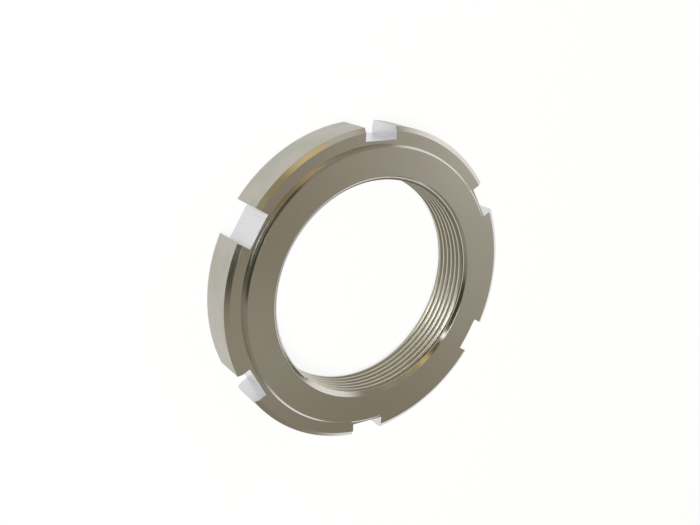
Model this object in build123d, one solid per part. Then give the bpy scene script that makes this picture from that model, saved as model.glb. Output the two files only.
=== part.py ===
from build123d import *
from math import ceil, radians, tan
import os

# Coilover lock ring: a flanged ring nut turned from one billet.
# The flange carries spanner slots and a low boss stands on its upper face.
# The ring lies flat, with its underside on Z = 0, its axis on Z and one slot on +X.

# Thread of the damper body that the ring runs on
THREAD_DIAMETER = 52.0
THREAD_PITCH = 1.5
THREAD_FLANK_ANGLE = 30.0  # each flank, from the plane across the axis
THREAD_START = -0.2  # height at which the middle of the groove passes over +X

# Section, from the thread outwards
LEAD_IN_MARGIN = 0.25  # mouth of the bore beyond the thread's major radius
BOSS_WALL = 7.0  # thread's major radius to the side of the boss
SLOT_LAND = 0.85  # side of the boss to the slot floors
SLOT_DEPTH = 3.15  # slot floors to the rim

# Heights
FLANGE_THICKNESS = 9.7
BOSS_HEIGHT = 1.3

# Edges of the section
RIM_CHAMFER = 1.1  # width across the flat face
RIM_CHAMFER_ANGLE = 30.0  # rise from the flat face
BOSS_CHAMFER = 0.45

# Spanner slots
SLOT_COUNT = 6
SLOT_WIDTH = 8.0

# Internal thread form: crests a quarter of the pitch wide, groove bottom an eighth
CREST_WIDTH = THREAD_PITCH / 4
GROOVE_BOTTOM = THREAD_PITCH / 8
FLANK_SLOPE = tan(radians(THREAD_FLANK_ANGLE))
THREAD_DEPTH = (THREAD_PITCH - CREST_WIDTH - GROOVE_BOTTOM) / 2 / FLANK_SLOPE

MAJOR_RADIUS = THREAD_DIAMETER / 2
MINOR_RADIUS = MAJOR_RADIUS - THREAD_DEPTH
MOUTH_RADIUS = MAJOR_RADIUS + LEAD_IN_MARGIN
BOSS_RADIUS = MAJOR_RADIUS + BOSS_WALL
SLOT_FLOOR = BOSS_RADIUS + SLOT_LAND
RIM_RADIUS = SLOT_FLOOR + SLOT_DEPTH

TOTAL_HEIGHT = FLANGE_THICKNESS + BOSS_HEIGHT
LEAD_IN_DEPTH = MOUTH_RADIUS - MINOR_RADIUS  # 45 degree countersink
RIM_CHAMFER_RISE = RIM_CHAMFER * tan(radians(RIM_CHAMFER_ANGLE))


def half_section():
    """Closed outline of the ring wall in the XZ plane, from the lower mouth round the rim."""
    outline = Polyline(
        (MOUTH_RADIUS, 0),
        (RIM_RADIUS - RIM_CHAMFER, 0),
        (RIM_RADIUS, RIM_CHAMFER_RISE),
        (RIM_RADIUS, FLANGE_THICKNESS - RIM_CHAMFER_RISE),
        (RIM_RADIUS - RIM_CHAMFER, FLANGE_THICKNESS),
        (BOSS_RADIUS, FLANGE_THICKNESS),
        (BOSS_RADIUS, TOTAL_HEIGHT - BOSS_CHAMFER),
        (BOSS_RADIUS - BOSS_CHAMFER, TOTAL_HEIGHT),
        (MOUTH_RADIUS, TOTAL_HEIGHT),
        (MINOR_RADIUS, TOTAL_HEIGHT - LEAD_IN_DEPTH),
        (MINOR_RADIUS, LEAD_IN_DEPTH),
        close=True,
    )
    return Plane.XZ * make_face(outline)


def turned_blank():
    """The section revolved about the ring's axis, with a plain bore."""
    return revolve(half_section(), axis=Axis.Z)


def spanner_slots():
    """Square notches through the whole flange, open at the rim."""
    overrun = SLOT_DEPTH
    notch = Pos(SLOT_FLOOR, 0, -overrun) * Box(
        SLOT_DEPTH + overrun,
        SLOT_WIDTH,
        TOTAL_HEIGHT + 2 * overrun,
        align=(Align.MIN, Align.CENTER, Align.MIN),
    )
    step = 360 / SLOT_COUNT
    return [Rot(0, 0, turn * step) * notch for turn in range(SLOT_COUNT)]


def thread_turns():
    """Right-hand thread groove, one turn to a solid, from under the ring to above it."""
    overlap = THREAD_DEPTH / 4
    inner = MINOR_RADIUS - overlap
    bottom = GROOVE_BOTTOM / 2
    mouth = bottom + (THREAD_DEPTH + overlap) * FLANK_SLOPE
    profile = Plane.XZ * make_face(
        Polyline(
            (inner, -mouth),
            (MAJOR_RADIUS, -bottom),
            (MAJOR_RADIUS, bottom),
            (inner, mouth),
            close=True,
        )
    )
    helix = Helix(pitch=THREAD_PITCH, height=THREAD_PITCH, radius=MINOR_RADIUS)
    turn = sweep(profile, path=helix, is_frenet=True)
    first = THREAD_START - THREAD_PITCH
    count = ceil((TOTAL_HEIGHT - first) / THREAD_PITCH) + 1
    return [Pos(0, 0, first + lap * THREAD_PITCH) * turn for lap in range(count)]


lock_ring = turned_blank() - spanner_slots() - thread_turns()
lock_ring.label = "lock_ring"

os.makedirs("parts", exist_ok=True)
export_step(lock_ring, "parts/lock_ring.step")
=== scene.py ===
import bmesh
import bpy
from math import asin, atan, ceil, cos, hypot, pi, radians, sin, sqrt, tan
from mathutils import Matrix, Vector
from typing import NamedTuple


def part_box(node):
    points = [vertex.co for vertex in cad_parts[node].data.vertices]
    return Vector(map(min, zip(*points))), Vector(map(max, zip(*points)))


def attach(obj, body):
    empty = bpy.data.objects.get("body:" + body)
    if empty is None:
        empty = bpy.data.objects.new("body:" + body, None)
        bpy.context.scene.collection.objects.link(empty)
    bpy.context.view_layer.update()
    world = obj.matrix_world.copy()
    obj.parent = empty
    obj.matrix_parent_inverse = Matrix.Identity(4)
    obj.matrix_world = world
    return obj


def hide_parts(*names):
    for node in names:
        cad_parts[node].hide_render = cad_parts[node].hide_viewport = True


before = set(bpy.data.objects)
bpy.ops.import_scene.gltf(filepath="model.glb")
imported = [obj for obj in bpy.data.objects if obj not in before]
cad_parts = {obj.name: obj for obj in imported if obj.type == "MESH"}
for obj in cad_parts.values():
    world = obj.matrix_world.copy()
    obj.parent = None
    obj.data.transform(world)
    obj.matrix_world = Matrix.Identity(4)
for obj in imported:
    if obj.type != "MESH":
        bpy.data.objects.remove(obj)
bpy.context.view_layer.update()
RING_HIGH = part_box("lock_ring")[1]

# Sizes in metres, the same as the solid's
HEIGHT = RING_HIGH.z
RIM_RADIUS = RING_HIGH.y
MAJOR_RADIUS = 0.026
PITCH = 0.0015
THREAD_START = -0.0002  # height of a groove's middle at +X
FLANK_SLOPE = tan(radians(30))
LEAD_IN_MARGIN = 0.00025
LEAD_IN_ANGLE = radians(45)  # to the faces and to the axis alike
BOSS_RADIUS = 0.033
BOSS_CHAMFER = 0.00045
FLANGE_THICKNESS = 0.0097
RIM_CHAMFER = 0.0011
RIM_CHAMFER_SLOPE = tan(radians(30))
SLOT_COUNT = 6
SLOT_FLOOR = 0.03385
HALF_SLOT = 0.004

# Edges as deburring and the tools' noses leave them
EDGE_BREAK = 0.00005
BROKEN_TURN = radians(20)  # edges outside the bore are broken where they turn more
STEEP_TURN = radians(50)  # those that turn less than this are broken by a share only
SHALLOW_EDGE = 0.4
CRISP_TURN = radians(35)  # edges in the bore stay crisp where they turn more
MOUTH_ROUNDING = 0.00015
CREST_ROUNDING = 0.00003
GROOVE_ROUNDING = 0.00007

# What follows from them
CREST = PITCH / 4  # this and the next are the flats of a metric thread
GROOVE_BOTTOM = PITCH / 8
THREAD_DEPTH = (PITCH - CREST - GROOVE_BOTTOM) / 2 / FLANK_SLOPE
MINOR_RADIUS = MAJOR_RADIUS - THREAD_DEPTH
MOUTH_RADIUS = MAJOR_RADIUS + LEAD_IN_MARGIN
RIM_CHAMFER_RISE = RIM_CHAMFER * RIM_CHAMFER_SLOPE
SLOT_CORNER = hypot(SLOT_FLOOR, HALF_SLOT)
SECTOR = 2 * pi / SLOT_COUNT
HALF_SLOT_ANGLE = atan(HALF_SLOT / SLOT_FLOOR)
MOUTH_REACH = MOUTH_ROUNDING * tan(LEAD_IN_ANGLE / 2)
MOUTH_END = MOUTH_REACH * cos(LEAD_IN_ANGLE)
MOUTH_ZONE = 2 * MOUTH_END  # depth below a face that keeps the face's finish
BORE_LIMIT = MOUTH_RADIUS + 2 * MOUTH_REACH  # edges within it belong to the bore
RIM_LIMIT = RIM_RADIUS - RIM_CHAMFER / 4  # what lies farther out has the rim's finish

# Mesh density
SLOT_STEPS = 14
TOOTH_STEPS = 46
ARC_STEPS = 2
MOUTH_STEPS = 3
EDGE_STEPS = 2
WELD = 1e-7
TOLERANCE = 1e-5
TYPICAL_AREA = 1e-7  # square metres

# Camera, from a fit to the ring's circles and slots in the photograph
CAMERA_PLACE = Vector((0.06618, 0.10551, 0.16062))
CAMERA_RIGHT = Vector((0.03836, -0.84319, 0.53625))
CAMERA_UP = Vector((0.94959, -0.13634, -0.28231))
CAMERA_LENS = 44.11  # millimetres, as is the sensor
SENSOR_WIDTH = 36.0
CAMERA_NEAR = 0.005
CAMERA_FAR = 30.0


def place(radius, angle, z):
    """Point at a distance from the axis, an angle round it and a height."""
    return Vector((radius * cos(angle), radius * sin(angle), z))


def arc(before, corner, after, radius):
    """Points of the arc that rounds a corner of an outline."""
    to_before = (before - corner).normalized()
    to_after = (after - corner).normalized()
    half = to_before.angle(to_after) / 2
    middle = corner + (to_before + to_after).normalized() * (radius / sin(half))
    start = corner + to_before * (radius / tan(half)) - middle
    end = corner + to_after * (radius / tan(half)) - middle
    spokes = [start.lerp(end, step / ARC_STEPS) for step in range(ARC_STEPS + 1)]
    return [middle + spoke.normalized() * radius for spoke in spokes]


def pitch_outline():
    """One pitch of the thread as points (height from the groove's middle, radius)."""
    crest_end = Vector((-PITCH / 2, MINOR_RADIUS))
    crest_edge = Vector((-PITCH / 2 + CREST / 2, MINOR_RADIUS))
    bottom_edge = Vector((-GROOVE_BOTTOM / 2, MAJOR_RADIUS))
    other_bottom = Vector((GROOVE_BOTTOM / 2, MAJOR_RADIUS))
    lower = arc(crest_end, crest_edge, bottom_edge, CREST_ROUNDING)
    lower.append(crest_edge.lerp(bottom_edge, 0.5))
    lower += arc(crest_edge, bottom_edge, other_bottom, GROOVE_ROUNDING)
    upper = [Vector((-point.x, point.y)) for point in reversed(lower)]
    return lower + upper


PITCH_OUTLINE = pitch_outline()
SPARE_LAPS = 2  # turns of thread past either face, which the bore's outline leaves out
LAPS = range(-SPARE_LAPS, ceil(HEIGHT / PITCH) + SPARE_LAPS)


def lead_in_radius(z):
    """Radius of the 45 degree lead-ins at a height, less than the crests' in mid bore."""
    return MOUTH_RADIUS - min(z, HEIGHT - z)


def mouth_arc():
    """Rounded edge between a flat face and its lead-in, as (distance from face, radius)."""
    points = []
    for step in range(MOUTH_STEPS + 1):
        depth = MOUTH_END * (step / MOUTH_STEPS) ** 2
        inset = sqrt(2 * MOUTH_ROUNDING * depth - depth * depth)
        points.append((depth, MOUTH_RADIUS + MOUTH_REACH - inset))
    return points


def bore_column(angle):
    """The bore's outline at an angle, (height, radius) from the lower mouth to the upper."""
    rise = THREAD_START + PITCH * angle / (2 * pi)
    thread = [
        Vector((rise + PITCH * lap + point.x, point.y))
        for lap in LAPS
        for point in PITCH_OUTLINE
    ]
    column = []
    for point in thread:
        z = min(max(point.x, MOUTH_END), HEIGHT - MOUTH_END)
        column.append((z, max(point.y, lead_in_radius(z))))
    for index in range(len(thread) - 1):
        low, high = thread[index], thread[index + 1]
        low_gap = low.y - lead_in_radius(low.x)
        high_gap = high.y - lead_in_radius(high.x)
        if low_gap * high_gap < 0:
            share = low_gap / (low_gap - high_gap)
            crossing = low.lerp(high, share)
            column[index + round(share)] = (crossing.x, crossing.y)
    lower = mouth_arc()
    upper = [(HEIGHT - depth, radius) for depth, radius in reversed(lower)]
    return lower + column + upper


def slot_edge(angle):
    """Distance from the axis to a slot's flat floor, or to its corners beside it."""
    off_middle = (angle + SECTOR / 2) % SECTOR - SECTOR / 2
    return min(SLOT_FLOOR / cos(off_middle), SLOT_CORNER)


def turn_angles():
    """Angles of the columns of one full turn, both ends included."""
    angles = []
    for slot in range(SLOT_COUNT):
        start = slot * SECTOR - HALF_SLOT_ANGLE
        tooth = start + 2 * HALF_SLOT_ANGLE
        span = SECTOR - 2 * HALF_SLOT_ANGLE
        angles += [start + 2 * HALF_SLOT_ANGLE * k / SLOT_STEPS for k in range(SLOT_STEPS)]
        angles += [tooth + span * k / TOOTH_STEPS for k in range(TOOTH_STEPS)]
    return angles + [angles[0] + 2 * pi]


def inner_columns():
    """Underside, bore, boss and flange face, as far out as the slot floors."""
    columns = []
    for angle in turn_angles():
        edge = slot_edge(angle)
        outline = [(0.0, edge)] + bore_column(angle)
        outline += [
            (HEIGHT, BOSS_RADIUS - BOSS_CHAMFER),
            (HEIGHT - BOSS_CHAMFER, BOSS_RADIUS),
            (FLANGE_THICKNESS, BOSS_RADIUS),
            (FLANGE_THICKNESS, edge),
        ]
        columns.append([place(radius, angle, z) for z, radius in outline])
    return columns


def slot_columns(middle):
    """A slot's flat floor."""
    columns = []
    for step in range(SLOT_STEPS + 1):
        angle = middle + HALF_SLOT_ANGLE * (2 * step / SLOT_STEPS - 1)
        edge = slot_edge(angle)
        columns.append([place(edge, angle, FLANGE_THICKNESS), place(edge, angle, 0.0)])
    return columns


def tooth_columns(middle):
    """A tooth outside the slot floors; its sides stay parallel to its slots' middles."""
    outline = [
        (SLOT_CORNER, FLANGE_THICKNESS),
        (RIM_RADIUS - RIM_CHAMFER, FLANGE_THICKNESS),
        (RIM_RADIUS, FLANGE_THICKNESS - RIM_CHAMFER_RISE),
        (RIM_RADIUS, RIM_CHAMFER_RISE),
        (RIM_RADIUS - RIM_CHAMFER, 0.0),
        (SLOT_CORNER, 0.0),
    ]
    columns = []
    for step in range(TOOTH_STEPS + 1):
        column = []
        for radius, z in outline:
            reach = SECTOR / 2 - asin(HALF_SLOT / radius)
            angle = middle + reach * (2 * step / TOOTH_STEPS - 1)
            column.append(place(radius, angle, z))
        columns.append(column)
    return columns


def add_grid(mesh, columns, material):
    """Quads between neighbouring columns of points."""
    rows = [[mesh.verts.new(point) for point in column] for column in columns]
    for left, right in zip(rows, rows[1:]):
        for k in range(len(left) - 1):
            face = mesh.faces.new((left[k], left[k + 1], right[k + 1], right[k]))
            face.material_index = material
    return rows


FACED, RIM, THREAD, MILLED = range(4)


def turned_finish(face):
    """Which of the finishes the lathe leaves on a face of the turned section."""
    middle = face.calc_center_median()
    radius = hypot(middle.x, middle.y)
    depth = min(middle.z, HEIGHT - middle.z)
    if radius > RIM_LIMIT:
        return RIM
    in_thread = lead_in_radius(middle.z) + TOLERANCE < radius < MOUTH_RADIUS
    return THREAD if in_thread and depth > MOUTH_ZONE else FACED


def mark_edges(mesh):
    """Outer edges are marked for their break, and the bore's steepest as crisp."""
    weight = mesh.edges.layers.float.new("bevel_weight_edge")
    for edge in mesh.edges:
        turn = edge.calc_face_angle(0.0)
        outside = all(hypot(vertex.co.x, vertex.co.y) > BORE_LIMIT for vertex in edge.verts)
        if outside and turn > BROKEN_TURN:
            edge[weight] = 1.0 if turn > STEEP_TURN else SHALLOW_EDGE
        elif turn > CRISP_TURN:
            edge.smooth = False


def ring_mesh():
    """The whole ring as one closed mesh, with a finish for each face."""
    mesh = bmesh.new()
    add_grid(mesh, inner_columns(), FACED)
    for slot in range(SLOT_COUNT):
        add_grid(mesh, slot_columns(slot * SECTOR), MILLED)
        rows = add_grid(mesh, tooth_columns((slot + 0.5) * SECTOR), FACED)
        for wall in (rows[0], rows[-1]):
            mesh.faces.new(wall).material_index = MILLED
    for face in mesh.faces:
        if face.material_index == FACED:
            face.material_index = turned_finish(face)
    bmesh.ops.remove_doubles(mesh, verts=mesh.verts, dist=WELD)
    bmesh.ops.dissolve_degenerate(mesh, edges=mesh.edges, dist=WELD)
    bmesh.ops.recalc_face_normals(mesh, faces=mesh.faces)
    for face in mesh.faces:
        face.smooth = True
    mark_edges(mesh)
    data = bpy.data.meshes.new("lock_ring_finished")
    mesh.to_mesh(data)
    mesh.free()
    return data


def shade_by_area(mesh):
    """Normals that follow the larger faces, so that a narrow rounded edge stays narrow."""
    sharp = {vertex for edge in mesh.edges if edge.use_edge_sharp for vertex in edge.vertices}
    normals = [Vector() for _ in mesh.vertices]
    for face in mesh.polygons:
        for vertex in face.vertices:
            if vertex not in sharp:
                normals[vertex] += face.normal * face.area**2 / TYPICAL_AREA**2
    mesh.normals_split_custom_set_from_vertices([normal.normalized() for normal in normals])


def add_ring():
    """The ring with its broken edges worked into the mesh."""
    ring = bpy.data.objects.new("lock_ring_finished", ring_mesh())
    bpy.context.scene.collection.objects.link(ring)
    bevel = ring.modifiers.new("edge_break", "BEVEL")
    bevel.limit_method = "WEIGHT"
    bevel.width = EDGE_BREAK
    bevel.segments = EDGE_STEPS
    bevel.use_clamp_overlap = False
    bevelled = ring.evaluated_get(bpy.context.evaluated_depsgraph_get())
    finished = bpy.data.meshes.new_from_object(bevelled)
    ring.modifiers.clear()
    ring.data = finished
    shade_by_area(finished)
    return ring


class Nodes:
    """Shorthand for building a node tree: each call adds a node and links its inputs."""

    def __init__(self, tree):
        self.tree = tree
        tree.nodes.clear()

    def add(self, kind, inputs=None, **settings):
        node = self.tree.nodes.new(kind)
        for name, value in settings.items():
            setattr(node, name, value)
        for key, value in (inputs or {}).items():
            if isinstance(value, bpy.types.NodeSocket):
                self.tree.links.new(value, node.inputs[key])
            else:
                node.inputs[key].default_value = value
        return node

    def math(self, operation, *values):
        node = self.add("ShaderNodeMath", dict(enumerate(values)), operation=operation)
        return node.outputs[0]

    def ramp(self, value, low, high, start=0.0, end=1.0, smooth=False):
        sockets = {
            "Value": value,
            "From Min": low,
            "From Max": high,
            "To Min": start,
            "To Max": end,
        }
        kind = "SMOOTHSTEP" if smooth else "LINEAR"
        return self.add("ShaderNodeMapRange", sockets, interpolation_type=kind).outputs[0]

    def noise(self, space, scale, detail, **where):
        sockets = {**where, "Scale": scale, "Detail": detail, "Roughness": 0.5}
        return self.add("ShaderNodeTexNoise", sockets, noise_dimensions=space).outputs[0]

    def mix(self, share, first, second):
        sockets = {"Factor": share, "A": first, "B": second}
        node = self.add("ShaderNodeMix", data_type="RGBA")
        for name, value in sockets.items():
            wanted = "VALUE" if name == "Factor" else "RGBA"
            socket = next(s for s in node.inputs if s.name == name and s.type == wanted)
            if isinstance(value, bpy.types.NodeSocket):
                self.tree.links.new(value, socket)
            else:
                socket.default_value = value
        return next(s for s in node.outputs if s.type == "RGBA")


def rgb(red, green, blue):
    """Opaque colour."""
    return (red, green, blue, 1.0)


def new_material(name):
    """A material and its node tree, still empty."""
    material = bpy.data.materials.new(name)
    material.use_nodes = True
    return material, Nodes(material.node_tree)


class Finish(NamedTuple):
    """One machined surface: its two shades in patches, and its tool marks, round or up."""

    name: str
    colour: tuple
    tint: tuple
    patches: float  # about this many a metre
    lay: str
    mark_width: float
    mark_depth: float
    roughness: float
    stretch: float = 0.0  # of the highlights, across the marks
    painted_root_shade: float = 0.0  # how much painted shade darkens the roots of the thread


# In the order of FACED, RIM, THREAD and MILLED
FINISHES = (
    Finish(
        name="faced_alloy",
        colour=rgb(0.69, 0.685, 0.655),
        tint=rgb(0.70, 0.67, 0.645),
        patches=140.0,
        lay="round",
        mark_width=0.00022,
        mark_depth=0.0000012,
        roughness=0.15,
    ),
    Finish(
        name="rim_alloy_with_painted_shade",
        # Colour darker than the faces' as painted shade, for the shadowed floor the rim
        # reflects; its rougher, stretched marks are its own
        colour=rgb(0.475, 0.478, 0.405),
        tint=rgb(0.535, 0.507, 0.46),
        patches=170.0,
        lay="round",
        mark_width=0.00022,
        mark_depth=0.0000015,
        roughness=0.38,
        stretch=0.7,
    ),
    Finish(
        name="thread_alloy_with_painted_shade",
        # Colour darker than the faces' as painted shade, for the shade inside the bore
        colour=rgb(0.545, 0.53, 0.465),
        tint=rgb(0.525, 0.505, 0.44),
        patches=140.0,
        lay="round",
        mark_width=0.00022,
        mark_depth=0.0000015,
        roughness=0.34,
        painted_root_shade=0.4,
    ),
    Finish(
        name="milled_alloy",
        colour=rgb(0.715, 0.712, 0.735),
        tint=rgb(0.695, 0.697, 0.71),
        patches=140.0,
        lay="up",
        mark_width=0.00035,
        mark_depth=0.0000025,
        roughness=0.3,
    ),
)
PATCH_RANGE = (0.35, 0.65)  # of the noise, over which one shade gives way to the other
LAY_TILT = 0.37  # lets marks that run round step along the axis too
GRAIN = 5200.0  # about this many specks a metre
GRAIN_SHARE = 0.5  # of the marks' height
NOISE_RANGE = (0.3, 0.7)  # holds most of what the marks and the grain take
MARK_SPREAD = 0.03  # by which the marks vary the roughness either way
GRAIN_SPREAD = 0.02
QUARTER_TURN = 0.25  # from round the ring to along its axis, for the stretch
ROOT_SHADE_COLOUR = rgb(0.30, 0.27, 0.20)  # brownish painted shade, darkest in the roots of the thread
UPPER_ROOT = MAJOR_RADIUS - THREAD_DEPTH / 2  # the painted shade fades out from the root to here


def metal(finish):
    """Satin alloy: bright metal with fine parallel tool marks, grain and faint patches."""
    material, nodes = new_material(finish.name)
    here = nodes.add("ShaderNodeTexCoord").outputs["Object"]
    x, y, z = nodes.add("ShaderNodeSeparateXYZ", {0: here}).outputs
    squares = nodes.math("ADD", nodes.math("MULTIPLY", x, x), nodes.math("MULTIPLY", y, y))
    radius = nodes.math("SQRT", squares)
    if finish.lay == "round":
        across = nodes.math("ADD", radius, nodes.math("MULTIPLY", z, LAY_TILT))
    else:
        turn = nodes.math("ARCTAN2", y, x)
        across = nodes.math("ADD", radius, nodes.math("MULTIPLY", turn, SLOT_FLOOR))
    counted = nodes.math("DIVIDE", across, finish.mark_width)
    marks = nodes.noise("1D", scale=1.0, detail=3.0, W=counted)
    patches = nodes.noise("3D", scale=finish.patches, detail=2.0, Vector=here)
    grain = nodes.noise("3D", scale=GRAIN, detail=1.0, Vector=here)
    shade = nodes.ramp(patches, *PATCH_RANGE, smooth=True)
    colour = nodes.mix(shade, finish.colour, finish.tint)
    # Painted shade: the thread is darkened towards its roots, where shade falls
    if finish.painted_root_shade:
        root_shade_share = nodes.ramp(radius, UPPER_ROOT, MAJOR_RADIUS, 0.0, finish.painted_root_shade, smooth=True)
        colour = nodes.mix(root_shade_share, colour, ROOT_SHADE_COLOUR)
    mark_spread = nodes.ramp(marks, *NOISE_RANGE, -MARK_SPREAD, MARK_SPREAD)
    grain_spread = nodes.ramp(grain, *NOISE_RANGE, -GRAIN_SPREAD, GRAIN_SPREAD)
    spread = nodes.math("ADD", mark_spread, grain_spread)
    roughness = nodes.math("ADD", spread, finish.roughness)
    height = nodes.math("ADD", marks, nodes.math("MULTIPLY", grain, GRAIN_SHARE))
    relief = {"Height": height, "Strength": 1.0, "Distance": finish.mark_depth}
    sockets = {
        "Base Color": colour,
        "Metallic": 1.0,
        "Roughness": roughness,
        "Normal": nodes.add("ShaderNodeBump", relief).outputs[0],
    }
    if finish.stretch:
        tangent = nodes.add("ShaderNodeTangent", direction_type="RADIAL", axis="Z")
        sockets["Tangent"] = tangent.outputs[0]
        sockets["Anisotropic"] = finish.stretch
        sockets["Anisotropic Rotation"] = QUARTER_TURN
    shader = nodes.add("ShaderNodeBsdfPrincipled", sockets)
    nodes.add("ShaderNodeOutputMaterial", {"Surface": shader.outputs[0]})
    return material


def direction(azimuth, elevation):
    """Unit vector towards an azimuth from +X and a height above the floor, in degrees."""
    turn, lift = radians(azimuth), radians(elevation)
    return Vector((cos(lift) * cos(turn), cos(lift) * sin(turn), sin(lift)))


class Panel(NamedTuple):
    """A soft round patch of the room, by direction and half-angles in degrees."""

    azimuth: float
    elevation: float
    full: float  # within this angle of its middle it has its whole colour
    outer: float  # beyond this angle it has faded out
    colour: tuple


# Studio round the ring, the same for every ray: pale backdrop, darker walls, soft panels
BACKDROP = rgb(0.95, 0.945, 0.93)
BACKDROP_TOP = 1  # degrees above the horizon where it starts to fade into the walls
BACKDROP_END = 8
WALLS = rgb(0.28, 0.247, 0.185)

# Each panel lies over those before it
ROOM = (
    Panel(-72, 8, 14, 34, rgb(0.98, 0.96, 0.91)),
    Panel(-98, 38, 4, 26, rgb(0.47, 0.455, 0.38)),
    Panel(-103, 45.5, 2, 6.5, rgb(0.60, 0.575, 0.495)),
    Panel(-134, 54.5, 1, 6, rgb(0.36, 0.335, 0.262)),
    Panel(-26, 44, 4, 14, rgb(0.58, 0.55, 0.48)),
    Panel(-75, 26, 5, 12, rgb(2.0, 1.96, 1.88)),
    Panel(147, 40, 8, 20, rgb(0.34, 0.305, 0.235)),
    Panel(70, 71, 3, 9, rgb(11.0, 10.9, 10.5)),
    Panel(130, 61, 3, 11, rgb(0.38, 0.355, 0.29)),
    Panel(62, 58, 6, 12, rgb(0.07, 0.068, 0.04)),
    Panel(28, 58, 9, 18, rgb(0.345, 0.29, 0.14)),
    Panel(8, 40, 5, 14, rgb(0.37, 0.32, 0.16)),
    Panel(-3, 52, 4, 13, rgb(0.74, 0.57, 0.30)),
    Panel(86, 48, 9, 24, rgb(0.055, 0.055, 0.03)),
    Panel(90, 29, 9, 18, rgb(0.055, 0.055, 0.03)),
    Panel(35, 38, 7, 20, rgb(0.14, 0.125, 0.06)),
    Panel(62, 29, 9, 16, rgb(0.075, 0.072, 0.045)),
    Panel(36, 28, 8, 14, rgb(0.075, 0.072, 0.045)),
    Panel(50, 44, 1.4, 3.2, rgb(2.8, 2.8, 2.7)),
    Panel(20, 42, 2, 7, rgb(0.78, 0.57, 0.26)),
)

# White paper that the ring lies on, a hair below its underside
PAPER = rgb(0.93, 0.93, 0.93)
PLAIN_WHITE = rgb(1.0, 1.0, 1.0)
PAPER_GLOW = 0.85  # share of plain white in the paper; the rest takes light and shadow
PAPER_DROP = 0.00004
PAPER_REACH = 6.0  # from the middle to each side

# Soft round lamp: direction in degrees, distance and size in metres, power in watts
LAMP_AZIMUTH = 80
LAMP_ELEVATION = 70
LAMP_DISTANCE = 1.0
LAMP_SIZE = 0.6
LAMP_POWER = 8.0


def set_world():
    """The studio's walls with their panels, above the backdrop."""
    world = bpy.data.worlds.new("studio")
    bpy.context.scene.world = world
    world.use_nodes = True
    nodes = Nodes(world.node_tree)
    towards = nodes.add("ShaderNodeTexCoord").outputs["Generated"]
    height = nodes.add("ShaderNodeSeparateXYZ", {0: towards}).outputs[2]
    fade = sin(radians(BACKDROP_TOP)), sin(radians(BACKDROP_END))
    above = nodes.ramp(height, *fade, smooth=True)
    colour = WALLS
    for panel in ROOM:
        sockets = {0: towards, 1: direction(panel.azimuth, panel.elevation)}
        facing = nodes.add("ShaderNodeVectorMath", sockets, operation="DOT_PRODUCT")
        limits = cos(radians(panel.outer)), cos(radians(panel.full))
        share = nodes.ramp(facing.outputs["Value"], *limits, smooth=True)
        colour = nodes.mix(share, colour, panel.colour)
    colour = nodes.mix(above, BACKDROP, colour)
    background = nodes.add("ShaderNodeBackground", {"Color": colour, "Strength": 1.0})
    nodes.add("ShaderNodeOutputWorld", {"Surface": background.outputs[0]})


def add_floor():
    """White paper, seen alike by the camera, in the metal and through glass."""
    mesh = bmesh.new()
    bmesh.ops.create_grid(mesh, x_segments=1, y_segments=1, size=PAPER_REACH)
    data = bpy.data.meshes.new("floor")
    mesh.to_mesh(data)
    mesh.free()
    floor = bpy.data.objects.new("floor", data)
    floor.location.z = -PAPER_DROP
    bpy.context.scene.collection.objects.link(floor)
    material, nodes = new_material("pale_paper")
    paper = nodes.add("ShaderNodeBsdfDiffuse", {"Color": PAPER})
    glow = nodes.add("ShaderNodeEmission", {"Color": PLAIN_WHITE, "Strength": 1.0})
    path = nodes.add("ShaderNodeLightPath").outputs
    seen = nodes.math("MAXIMUM", path["Is Camera Ray"], path["Is Glossy Ray"])
    seen = nodes.math("MAXIMUM", seen, path["Is Transmission Ray"])
    share = nodes.math("MULTIPLY", seen, PAPER_GLOW)
    both = nodes.add("ShaderNodeMixShader", {0: share, 1: paper.outputs[0], 2: glow.outputs[0]})
    nodes.add("ShaderNodeOutputMaterial", {"Surface": both.outputs[0]})
    material.cycles.emission_sampling = "NONE"
    data.materials.append(material)


def add_lamp():
    """The soft lamp, which lights the scene and isn't seen in the metal."""
    lamp = bpy.data.lights.new("soft", "AREA")
    lamp.shape = "DISK"
    lamp.size = LAMP_SIZE
    lamp.energy = LAMP_POWER
    holder = bpy.data.objects.new("soft", lamp)
    away = direction(LAMP_AZIMUTH, LAMP_ELEVATION)
    holder.location = away * LAMP_DISTANCE
    holder.rotation_euler = away.to_track_quat("Z", "Y").to_euler()
    holder.visible_glossy = False
    bpy.context.scene.collection.objects.link(holder)


def add_camera():
    """Camera that looks down on the ring, turned as in the photograph."""
    lens = bpy.data.cameras.new("camera")
    lens.lens = CAMERA_LENS
    lens.sensor_width = SENSOR_WIDTH
    lens.clip_start = CAMERA_NEAR
    lens.clip_end = CAMERA_FAR
    camera = bpy.data.objects.new("camera", lens)
    back = CAMERA_RIGHT.cross(CAMERA_UP).normalized()
    up = back.cross(CAMERA_RIGHT).normalized()
    right = up.cross(back)
    turn = Matrix((right, up, back)).transposed()
    camera.matrix_world = Matrix.Translation(CAMERA_PLACE) @ turn.to_4x4()
    bpy.context.scene.collection.objects.link(camera)
    bpy.context.scene.camera = camera


ring = add_ring()
for finish in FINISHES:
    ring.data.materials.append(metal(finish))
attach(ring, "root")
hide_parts("lock_ring")

set_world()
add_floor()
add_lamp()
add_camera()
bpy.context.scene.view_settings.view_transform = "Standard"
